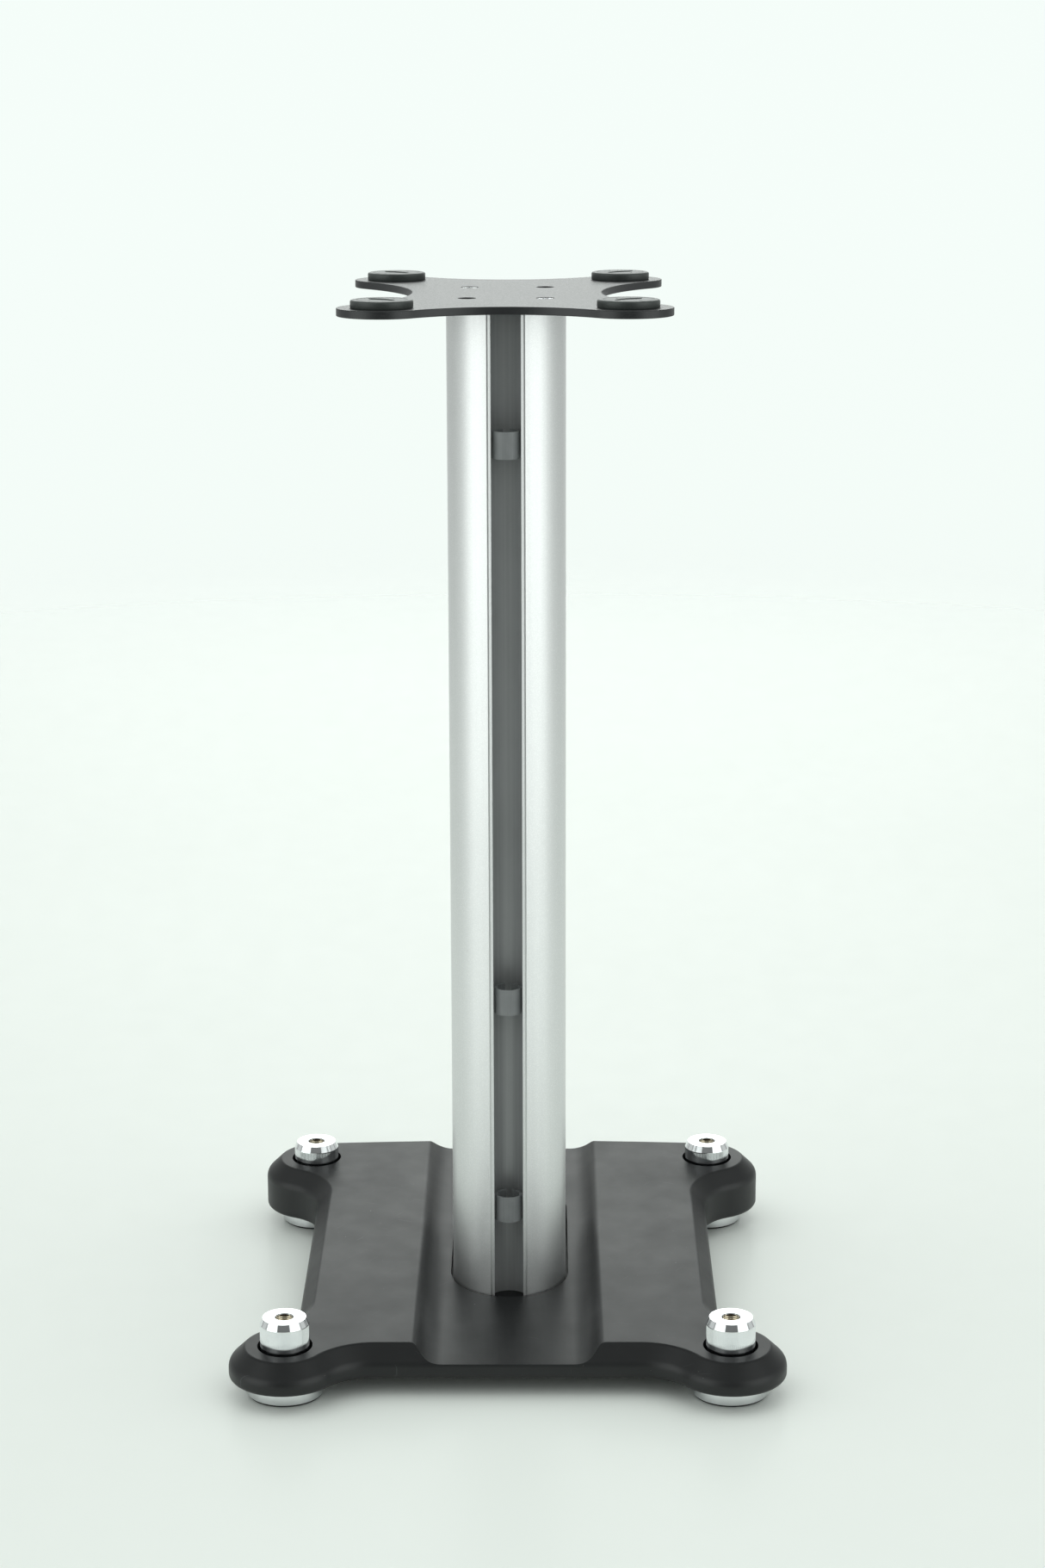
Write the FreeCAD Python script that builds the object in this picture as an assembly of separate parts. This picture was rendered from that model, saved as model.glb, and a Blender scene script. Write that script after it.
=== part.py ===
import FreeCAD, Part
import math, os
from FreeCAD import Vector as V

# ---------------------------------------------------------------------------
# Floor-standing loudspeaker stand.
# Millimetres. +Z up, floor at Z = 0. +X is the stand's right, +Y its front,
# so the open cable channel of the column looks towards -Y (the rear).
# Origin: on the floor, centre of the base's footprint.
# ---------------------------------------------------------------------------

# --- base plate: wedge, thicker at the front ---
BASE_BOTTOM = 10.0        # underside above the floor with the feet screwed in
LOBE_R = 32.0             # corner lobe radius
LOBE_X = 126.2            # lobe (and foot) centres, left and right of centre
LOBE_YR = -138.45         # rear foot centres
LOBE_YF = 133.55          # front foot centres
FILLET_R = 32.0           # hollow radius between a lobe and a straight edge
WAIST_X = 122.3           # half width between the lobes
REAR_Y = -144.45          # rear edge between the lobes
FRONT_Y = 170.45          # apex of the slightly crowned front edge
CHAMFER_RUN = 9.0         # top chamfer, inwards
CHAMFER_DROP = 8.8        # top chamfer, down
SOFT_R = 2.6              # rounding of the chamfer's upper edge
BOTTOM_RADIUS = 3.5       # rounded lower edge
COL_Y = 26.2              # column centre
TOP_Z_AT_COL = 36.5       # height of the sloping top face at the column centre
TOP_SLOPE = 0.0481        # rise of the top face per mm towards the front
TROUGH_HALF = 37.4        # half width of the sunk strip that runs front to back
TROUGH_TOP_HALF = 55.0    # half width at the top of its sloped sides
TROUGH_DEPTH = 9.2        # its floor below the top face
SOCKET_CLEAR = 1.5        # gap round the column in its pocket
SOCKET_FLOOR = 17.5

# --- column: hollow obround extrusion ---
COL_HALF = 33.7
COL_FLAT = 94.3           # straight length of each side
COL_WALL = 2.8
DUCT_YC = -68.6           # cable duct centre, from the column centre
DUCT_R = 12.0
DUCT_WALL = 2.0
SLOT_HALF = 8.45
PORT_X = 22.1             # screw ports
PORT_Y = 37.3
PORT_R = 3.0
PORT_OUT = 5.6
WEB = 2.4
LINER_R = 10.8

# --- top plate ---
PLATE_TOP = 605.6
PLATE_T = 4.4
PAD_X = 67.35
PAD_Y = 94.9
PLATE_LOBE_R = 25.0
PLATE_WAIST = 54.5
PLATE_MID_Y = 92.5
PAD_R = 17.3
PAD_H = 4.3

# --- adjustable feet ---
HOLE_R = 15.65
KNOB_R = 14.0
KNOB_TOP_R = 12.32
KNOB_BEVEL = 3.7
KNOB_H = 26.0
KNOB_TOP_REAR = 45.7
KNOB_TOP_FRONT = 52.75
RING_T = 1.0
STUD_R = 5.0
RUN = 0.05                # radial running clearance
FOOT_R = 21.65
FOOT_TOP = 8.6
SOLE_T = 1.0

# --- cable clips ---
CLIP_H = 15.5
CLIP_HALF = 7.5
CLIP_Z = {"upper": 527.6, "middle": 204.0, "lower": 76.7}

os.makedirs("parts", exist_ok=True)
Z = V(0, 0, 1)


def cyl(r, h, x, y, z, d=Z):
    return Part.makeCylinder(r, h, V(x, y, z), d)


def box(x0, y0, z0, x1, y1, z1):
    return Part.makeBox(x1 - x0, y1 - y0, z1 - z0, V(x0, y0, z0))


def arc3(a, b, c):
    return Part.Arc(V(*a, 0), V(*b, 0), V(*c, 0)).toShape()


def seg(a, b):
    return Part.LineSegment(V(*a, 0), V(*b, 0)).toShape()


def arc_on(cx, cy, r, p0, p1):
    """Arc about (cx, cy) from p0 to p1 the short way."""
    a0 = math.atan2(p0[1] - cy, p0[0] - cx)
    a1 = math.atan2(p1[1] - cy, p1[0] - cx)
    d = (a1 - a0 + math.pi) % (2 * math.pi) - math.pi
    am = a0 + d / 2
    return arc3(p0, (cx + r * math.cos(am), cy + r * math.sin(am)), p1)


def save(name, shape):
    shape = shape.removeSplitter() if hasattr(shape, "removeSplitter") else shape
    if not shape.isValid():
        print("invalid", name)
    shape.exportStep("parts/%s.step" % name)
    b = shape.optimalBoundingBox()
    print("%-26s solids %d vol %10.1f  z %7.2f..%7.2f y %8.2f..%8.2f x %8.2f..%8.2f" % (
        name, len(shape.Solids), shape.Volume, b.ZMin, b.ZMax, b.YMin, b.YMax, b.XMin, b.XMax))


def group(shapes):
    return shapes[0] if len(shapes) == 1 else Part.makeCompound(shapes)


def top_z(y):
    return TOP_Z_AT_COL + TOP_SLOPE * (y - COL_Y)


# ---------------------------------------------------------------------------
# base plate
# ---------------------------------------------------------------------------
def base_outline():
    two = LOBE_R + FILLET_R
    # rear fillet between lobe and rear edge
    fy = REAR_Y - FILLET_R
    fx = LOBE_X - math.sqrt(two ** 2 - (fy - LOBE_YR) ** 2)
    t = LOBE_R / two
    p_edge = (fx, REAR_Y)
    p_rear = (LOBE_X + (fx - LOBE_X) * t, LOBE_YR + (fy - LOBE_YR) * t)
    # waist fillets
    sx = WAIST_X + FILLET_R
    dy = math.sqrt(two ** 2 - (sx - LOBE_X) ** 2)
    ya, yb = LOBE_YR + dy, LOBE_YF - dy
    q_rear = (LOBE_X + (sx - LOBE_X) * t, LOBE_YR + dy * t)
    q_front = (LOBE_X + (sx - LOBE_X) * t, LOBE_YF - dy * t)
    # crowned front edge, tangent inside the front lobes
    c = FRONT_Y - LOBE_R
    yc = (c * c - LOBE_X ** 2 - LOBE_YF ** 2) / (2 * (c - LOBE_YF))
    R = FRONT_Y - yc
    L = math.hypot(LOBE_X, LOBE_YF - yc)
    p_front = (LOBE_X * R / L, yc + (LOBE_YF - yc) * R / L)

    def m(p):
        return (-p[0], p[1])
    e = []
    e.append(seg(m(p_edge), p_edge))
    e.append(arc_on(fx, fy, FILLET_R, p_edge, p_rear))
    e.append(arc3(p_rear, (LOBE_X + LOBE_R * math.cos(math.radians(-38)),
                           LOBE_YR + LOBE_R * math.sin(math.radians(-38))), q_rear))
    e.append(arc_on(sx, ya, FILLET_R, q_rear, (WAIST_X, ya)))
    e.append(seg((WAIST_X, ya), (WAIST_X, yb)))
    e.append(arc_on(sx, yb, FILLET_R, (WAIST_X, yb), q_front))
    e.append(arc3(q_front, (LOBE_X + LOBE_R * math.cos(math.radians(10)),
                            LOBE_YF + LOBE_R * math.sin(math.radians(10))), p_front))
    e.append(arc3(p_front, (0, FRONT_Y), m(p_front)))
    e.append(arc3(m(p_front), (-LOBE_X - LOBE_R * math.cos(math.radians(10)),
                               LOBE_YF + LOBE_R * math.sin(math.radians(10))), m(q_front)))
    e.append(arc_on(-sx, yb, FILLET_R, m(q_front), (-WAIST_X, yb)))
    e.append(seg((-WAIST_X, yb), (-WAIST_X, ya)))
    e.append(arc_on(-sx, ya, FILLET_R, (-WAIST_X, ya), m(q_rear)))
    e.append(arc3(m(q_rear), (-LOBE_X - LOBE_R * math.cos(math.radians(-38)),
                              LOBE_YR + LOBE_R * math.sin(math.radians(-38))), m(p_rear)))
    e.append(arc_on(-fx, fy, FILLET_R, m(p_rear), m(p_edge)))
    return Part.Wire(Part.__sortEdges__(e))


def obround(half, flat, yc):
    a = flat / 2
    e = [seg((half, yc - a), (half, yc + a)),
         arc3((half, yc + a), (0, yc + a + half), (-half, yc + a)),
         seg((-half, yc + a), (-half, yc - a)),
         arc3((-half, yc - a), (0, yc - a - half), (half, yc - a))]
    return Part.Face(Part.Wire(e))


def wedge_cutter():
    y0, y1 = -250.0, 250.0
    pts = [V(-300, y0, top_z(y0)), V(-300, y1, top_z(y1)), V(-300, y1, 120), V(-300, y0, 120),
           V(-300, y0, top_z(y0))]
    return Part.Face(Part.makePolygon(pts)).extrude(V(600, 0, 0))


def trough_cutter():
    y0 = -250.0
    z = top_z(y0)
    d = TROUGH_DEPTH
    a, b = TROUGH_HALF, TROUGH_TOP_HALF
    m = a + 0.72 * (b - a)      # the side is tight at the top and a long cove below

    def side(s):
        c = Part.BezierCurve()
        c.setPoles([V(s * a, y0, z - d), V(s * m, y0, z - d), V(s * m, y0, z), V(s * b, y0, z)])
        return c.toShape()
    e = [Part.LineSegment(V(-a, y0, z - d), V(a, y0, z - d)).toShape(), side(1),
         Part.LineSegment(V(b, y0, z), V(b, y0, z + 60)).toShape(),
         Part.LineSegment(V(b, y0, z + 60), V(-b, y0, z + 60)).toShape(),
         Part.LineSegment(V(-b, y0, z + 60), V(-b, y0, z)).toShape(), side(-1)]
    w = Part.Wire(Part.__sortEdges__(e))
    return Part.Face(w).extrude(V(0, 500, 500 * TOP_SLOPE))


FEET = {"rear_left": (-LOBE_X, LOBE_YR, KNOB_TOP_REAR), "rear_right": (LOBE_X, LOBE_YR, KNOB_TOP_REAR),
        "front_left": (-LOBE_X, LOBE_YF, KNOB_TOP_FRONT), "front_right": (LOBE_X, LOBE_YF, KNOB_TOP_FRONT)}
BUSH_R = 8.0


def make_base():
    w = base_outline()
    w.translate(V(0, 0, BASE_BOTTOM))
    prism = Part.Face(w).extrude(V(0, 0, 60))
    body = prism.cut(wedge_cutter())
    # broad chamfer round the sloping top face
    top = max(body.Faces, key=lambda f: f.CenterOfMass.z if f.Area > 40000 else -1)
    edges = list(top.OuterWire.Edges)
    ch = body.makeChamfer(CHAMFER_RUN, CHAMFER_DROP, edges)
    # the chamfer's upper edge is softly rounded
    top = max(ch.Faces, key=lambda f: f.Area if f.CenterOfMass.z > 25 else -1)
    ch = ch.makeFillet(SOFT_R, list(top.OuterWire.Edges))
    # rounded lower edge
    low = [e for e in ch.Edges if abs(e.BoundBox.ZMin - BASE_BOTTOM) < 1e-6 and abs(e.BoundBox.ZMax - BASE_BOTTOM) < 1e-6]
    ch = ch.makeFillet(BOTTOM_RADIUS, low)
    b = ch.cut(trough_cutter())
    # pocket for the column
    pocket = obround(COL_HALF + SOCKET_CLEAR, COL_FLAT - 1.0, COL_Y)
    pocket.translate(V(0, 0, SOCKET_FLOOR))
    b = b.cut(pocket.extrude(V(0, 0, 60)))
    # knob wells, bush bores
    for x, y, zt in FEET.values():
        zf = zt - KNOB_H - RING_T
        b = b.cut(cyl(HOLE_R, 60, x, y, zf))
        b = b.cut(cyl(BUSH_R, 60, x, y, BASE_BOTTOM - 5))
    # screw holes for the column, counterbored from below
    for sx in (-1, 1):
        for sy in (-1, 1):
            x, y = sx * PORT_X, COL_Y + sy * PORT_Y
            b = b.cut(cyl(3.3, 40, x, y, 0))
            b = b.cut(cyl(7.0, 4.0 + 5, x, y, BASE_BOTTOM - 5))
    return b


# ---------------------------------------------------------------------------
# column
# ---------------------------------------------------------------------------
def disk(r, x, y):
    return Part.Face(Part.Wire(Part.makeCircle(r, V(x, y, 0))))


def rect(x0, y0, x1, y1):
    return Part.Face(Part.makePolygon([V(x0, y0, 0), V(x1, y0, 0), V(x1, y1, 0), V(x0, y1, 0), V(x0, y0, 0)]))


def column_prisms(z0, h):
    """Outer body, ribs and ports as prisms, so the section fuses into one solid."""
    def ex(face):
        face.translate(V(0, 0, z0))
        return face.extrude(V(0, 0, h))
    outer = ex(obround(COL_HALF, COL_FLAT, 0))
    s = outer.cut(ex(obround(COL_HALF - COL_WALL, COL_FLAT, 0)))
    add = [ex(disk(DUCT_R + DUCT_WALL, 0, DUCT_YC)).common(outer)]
    for sy in (-1, 1):
        add.append(ex(rect(-COL_HALF + 1, sy * PORT_Y - WEB / 2, COL_HALF - 1, sy * PORT_Y + WEB / 2)))
        for sx in (-1, 1):
            add.append(ex(disk(PORT_OUT, sx * PORT_X, sy * PORT_Y)))
    s = s.fuse(add).removeSplitter()
    s = s.cut(ex(disk(DUCT_R, 0, DUCT_YC)))
    s = s.cut(ex(rect(-SLOT_HALF, -100, SLOT_HALF, DUCT_YC)))
    # fine groove beside each slot lip
    for sx in (-1, 1):
        xo = SLOT_HALF + 1.45
        yo = -(COL_FLAT / 2 + math.sqrt(COL_HALF ** 2 - (xo + 0.45) ** 2))
        s = s.cut(ex(rect(min(sx * xo, sx * (xo + 0.9)), -100, max(sx * xo, sx * (xo + 0.9)), yo + 0.7)))
        for sy in (-1, 1):
            s = s.cut(ex(disk(PORT_R, sx * PORT_X, sy * PORT_Y)))
    return s.removeSplitter()


def make_column():
    s = column_prisms(SOCKET_FLOOR, PLATE_TOP - PLATE_T - SOCKET_FLOOR)
    s.translate(V(0, COL_Y, 0))
    return s


def make_liner():
    s = disk(DUCT_R, 0, DUCT_YC).cut(disk(LINER_R, 0, DUCT_YC))
    s = s.cut(rect(-SLOT_HALF - 0.4, -100, SLOT_HALF + 0.4, DUCT_YC))
    s.translate(V(0, COL_Y, SOCKET_FLOOR))
    return s.extrude(V(0, 0, PLATE_TOP - PLATE_T - SOCKET_FLOOR))


# ---------------------------------------------------------------------------
# top plate and pads
# ---------------------------------------------------------------------------
def plate_outline():
    r, px, py = PLATE_LOBE_R, PAD_X, PAD_Y
    # side hollow: centre (PLATE_WAIST + R, 0)
    k = PLATE_WAIST - px
    rs = (k * k + py * py - r * r) / (2 * (r - k))
    # front and rear hollows: centre (0, PLATE_MID_Y + R)
    k2 = PLATE_MID_Y - py
    rf = (k2 * k2 + px * px - r * r) / (2 * (r - k2))
    cs = (PLATE_WAIST + rs, 0)
    cf = (0, PLATE_MID_Y + rf)

    def toward(c, rc):
        t = r / (r + rc)
        return (px + (c[0] - px) * t, py + (c[1] - py) * t)
    s = toward(cs, rs)
    f = toward(cf, rf)
    c45 = (px + r * math.cos(math.radians(45)), py + r * math.sin(math.radians(45)))

    def q(p, sx, sy):
        return (p[0] * sx, p[1] * sy)
    e = []
    e.append(arc3(q(s, 1, -1), (PLATE_WAIST, 0), s))
    e.append(arc3(s, c45, f))
    e.append(arc3(f, (0, PLATE_MID_Y), q(f, -1, 1)))
    e.append(arc3(q(f, -1, 1), q(c45, -1, 1), q(s, -1, 1)))
    e.append(arc3(q(s, -1, 1), (-PLATE_WAIST, 0), q(s, -1, -1)))
    e.append(arc3(q(s, -1, -1), q(c45, -1, -1), q(f, -1, -1)))
    e.append(arc3(q(f, -1, -1), (0, -PLATE_MID_Y), q(f, 1, -1)))
    e.append(arc3(q(f, 1, -1), q(c45, 1, -1), q(s, 1, -1)))
    return Part.Wire(Part.__sortEdges__(e))


def make_top_plate():
    w = plate_outline()
    w.translate(V(0, COL_Y, PLATE_TOP - PLATE_T))
    p = Part.Face(w).extrude(V(0, 0, PLATE_T))
    rim = [e for e in p.Edges if abs(e.BoundBox.ZMin - e.BoundBox.ZMax) < 1e-6]
    p = p.makeFillet(0.5, rim)
    for sx in (-1, 1):
        for sy in (-1, 1):
            x, y = sx * PORT_X, COL_Y + sy * PORT_Y
            p = p.cut(cyl(3.3, 20, x, y, PLATE_TOP - 10))
            p = p.cut(cyl(5.25, 20, x, y, PLATE_TOP - 2.8))
    return p


def make_pad(x, y, mx, my):
    z = PLATE_TOP
    p = cyl(PAD_R, PAD_H, x, y, z)
    edge = [e for e in p.Edges if abs(e.BoundBox.ZMin - (z + PAD_H)) < 1e-6 and abs(e.BoundBox.ZMax - (z + PAD_H)) < 1e-6
            and e.Length > 50]
    p = p.makeFillet(1.0, edge)
    # plain shallow lens-shaped relief in the top
    R, d = 16.0, 11.5
    lens = cyl(R, 2, x + d * 0.72 * mx, y - d * 0.69 * my, z + PAD_H - 0.6).common(
        cyl(R, 2, x - d * 0.72 * mx, y + d * 0.69 * my, z + PAD_H - 0.6))
    lens = lens.common(cyl(13.2, 2, x, y, z + PAD_H - 0.6))
    p = p.cut(lens)
    return p


# ---------------------------------------------------------------------------
# fasteners and feet
# ---------------------------------------------------------------------------
def hexagon(af, x, y, z, h):
    r = af / math.sqrt(3)
    pts = [V(x + r * math.cos(math.radians(60 * i)), y + r * math.sin(math.radians(60 * i)), z) for i in range(7)]
    return Part.Face(Part.makePolygon(pts)).extrude(V(0, 0, h))


def plate_screw(x, y):
    zb = PLATE_TOP - 2.8
    s = cyl(4.9, 2.5, x, y, zb).fuse(cyl(PORT_R, 20, x, y, zb - 20))
    s = s.cut(hexagon(4.0, x, y, zb + 0.7, 5))
    return s.removeSplitter()


def base_screw(x, y):
    zt = BASE_BOTTOM + 4.0 - 1.2
    s = cyl(4.9, 2.6, x, y, zt - 2.6).fuse(cyl(PORT_R, 28, x, y, zt - 0.01))
    s = s.cut(hexagon(4.0, x, y, zt - 5, 4.0))
    return s.removeSplitter()


def base_washer(x, y):
    zt = BASE_BOTTOM + 4.0
    return cyl(6.3, 1.2, x, y, zt - 1.2).cut(cyl(PORT_R + 0.2, 4, x, y, zt - 3))


def knob(x, y, zt):
    z0 = zt - KNOB_H
    body = cyl(KNOB_R, KNOB_H - KNOB_BEVEL, x, y, z0)
    cone = Part.makeCone(KNOB_R, KNOB_TOP_R, KNOB_BEVEL, V(x, y, zt - KNOB_BEVEL), Z)
    k = body.fuse(cone).removeSplitter()
    k = k.cut(cyl(STUD_R + RUN, 60, x, y, z0 - 5))
    k = k.cut(Part.makeCone(STUD_R + RUN, STUD_R + RUN + 0.5, 0.5, V(x, y, zt - 0.5), Z))
    # relief under the knob so that only its rim bears on the washer
    k = k.cut(cyl(8.5, 1.0, x, y, z0).cut(cyl(STUD_R + RUN, 2, x, y, z0 - 0.5)))
    return k


def knob_ring(x, y, zt):
    z0 = zt - KNOB_H - RING_T
    return cyl(13.2, RING_T, x, y, z0).cut(cyl(8.6, 3, x, y, z0 - 1))


def bush(x, y, zt):
    z1 = zt - KNOB_H - RING_T
    b = cyl(BUSH_R, z1 - BASE_BOTTOM, x, y, BASE_BOTTOM)
    return b.cut(cyl(STUD_R + RUN, 60, x, y, 0))


def stud(x, y, zt):
    top = zt - 2.6
    s = cyl(STUD_R, top - 6.05, x, y, 6.05)
    e = [q for q in s.Edges if abs(q.BoundBox.ZMin - top) < 1e-6 and abs(q.BoundBox.ZMax - top) < 1e-6]
    s = s.makeChamfer(0.6, e)
    s = s.fuse(cyl(4.0, 6.05 - 1.6, x, y, 1.6))
    s = s.cut(cyl(6, 0.8, x, y, 2.0).cut(cyl(3.3, 2, x, y, 1.5)))
    s = s.cut(hexagon(5.0, x, y, top - 6.0, 10))
    return s.removeSplitter()


def circlip(x, y):
    c = cyl(6.0, 0.7, x, y, 2.05).cut(cyl(3.3, 3, x, y, 1.0))
    return c.cut(box(x - 1.2, y, 1.0, x + 1.2, y + 10, 4.0))


def foot_disc(x, y):
    d = cyl(FOOT_R, FOOT_TOP - SOLE_T, x, y, SOLE_T)
    e = [q for q in d.Edges if q.Length > 100]
    d = d.makeFillet(0.5, e)
    d = d.cut(cyl(4.05, 20, x, y, 0)).cut(cyl(5.4, 10, x, y, 6.0)).cut(cyl(8.0, 3.0, x, y, 0.0))
    return d


def foot_sole(x, y):
    return cyl(FOOT_R - 0.75, SOLE_T, x, y, 0)


# ---------------------------------------------------------------------------
# cable clips: sprung ring that spans the slot, with an ear behind each lip
# ---------------------------------------------------------------------------
def ring_profile(hw, front, back, y_front, y_back):
    """Closed outline: bowed front, straight sides, bowed back."""
    e = [arc3((-hw, y_front), (0, y_front - front), (hw, y_front)),
         seg((hw, y_front), (hw, y_back)),
         arc3((hw, y_back), (0, y_back + back), (-hw, y_back)),
         seg((-hw, y_back), (-hw, y_front))]
    return Part.Face(Part.Wire(e))


def make_clip(zc):
    t = 1.4
    z0 = zc - CLIP_H / 2

    def ex(face):
        face.translate(V(0, COL_Y, z0))
        return face.extrude(V(0, 0, CLIP_H))
    s = ex(ring_profile(CLIP_HALF, 5.0, 5.8, -74.6, -69.7))
    ears = []
    for sx in (-1, 1):
        a, b = sorted((sx * (CLIP_HALF - 0.7), sx * 9.6))
        ears.append(ex(rect(a, -72.6, b, -70.9)))
    s = s.fuse(ears).removeSplitter()
    s = s.cut(ex(ring_profile(CLIP_HALF - t, 3.9, 4.7, -74.6, -69.7)))
    s = s.cut(ex(rect(-1.5, -69.0, 1.5, -60.0)))
    return s.removeSplitter()


# ---------------------------------------------------------------------------
def main():
    save("base_plate", make_base())
    save("column", make_column())
    save("channel_liner", make_liner())
    save("top_plate", make_top_plate())
    for n, (sx, sy) in {"rear_left": (-1, -1), "rear_right": (1, -1), "front_left": (-1, 1), "front_right": (1, 1)}.items():
        save("pad_" + n, make_pad(sx * PAD_X, COL_Y + sy * PAD_Y, -sx, 1))
    save("top_plate_screws", group([plate_screw(PORT_X, COL_Y - PORT_Y), plate_screw(-PORT_X, COL_Y + PORT_Y)]))
    spots = [(sx * PORT_X, COL_Y + sy * PORT_Y) for sx in (-1, 1) for sy in (-1, 1)]
    save("column_base_screws", group([base_screw(*p) for p in spots]))
    save("column_base_washers", group([base_washer(*p) for p in spots]))
    for n, zc in CLIP_Z.items():
        save("cable_clip_" + n, make_clip(zc))
    for n, (x, y, zt) in FEET.items():
        save("foot_bush_" + n, bush(x, y, zt))
        save("lock_knob_" + n, knob(x, y, zt))
        save("knob_washer_" + n, knob_ring(x, y, zt))
        save("foot_stud_" + n, stud(x, y, zt))
        save("stud_circlip_" + n, circlip(x, y))
        save("foot_disc_" + n, foot_disc(x, y))
        save("foot_sole_" + n, foot_sole(x, y))


main()
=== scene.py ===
import math

import bmesh
import bpy
import numpy as np
from mathutils import Matrix, Vector


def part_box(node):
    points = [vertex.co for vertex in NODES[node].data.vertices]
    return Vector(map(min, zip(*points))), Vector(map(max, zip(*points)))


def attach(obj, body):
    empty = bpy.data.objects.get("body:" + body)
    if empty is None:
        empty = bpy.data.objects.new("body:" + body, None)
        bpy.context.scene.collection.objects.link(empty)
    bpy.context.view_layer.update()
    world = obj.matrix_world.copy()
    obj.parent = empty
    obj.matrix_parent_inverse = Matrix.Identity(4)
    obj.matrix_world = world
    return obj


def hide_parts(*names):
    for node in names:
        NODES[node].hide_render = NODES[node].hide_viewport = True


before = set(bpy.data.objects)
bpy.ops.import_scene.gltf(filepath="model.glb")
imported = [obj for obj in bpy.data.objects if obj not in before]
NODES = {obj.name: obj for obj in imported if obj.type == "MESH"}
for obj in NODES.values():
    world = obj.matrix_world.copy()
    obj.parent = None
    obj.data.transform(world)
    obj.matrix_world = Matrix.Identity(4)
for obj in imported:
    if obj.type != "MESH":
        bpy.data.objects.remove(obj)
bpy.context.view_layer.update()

scene = bpy.context.scene
MM = 0.001
TAU = 2 * math.pi
CORNERS = ("rear_left", "rear_right", "front_left", "front_right")


# ---------------------------------------------------------------------------
# light levels, linear
# ---------------------------------------------------------------------------
L_DARK, L_WALL, L_TOP, L_BOX, L_BACK, L_BAND = 0.13, 0.60, 0.34, 1.25, 1.40, 1.55
L_DIFF, L_DIFF_TOP = 0.72, 0.45
FLOOR_A, FLOOR_B = (0.872, 0.908, 0.872), (0.885, 0.920, 0.885)
SKY_LOW, SKY_HIGH = (0.865, 0.935, 0.880), (0.915, 0.985, 0.950)


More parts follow.
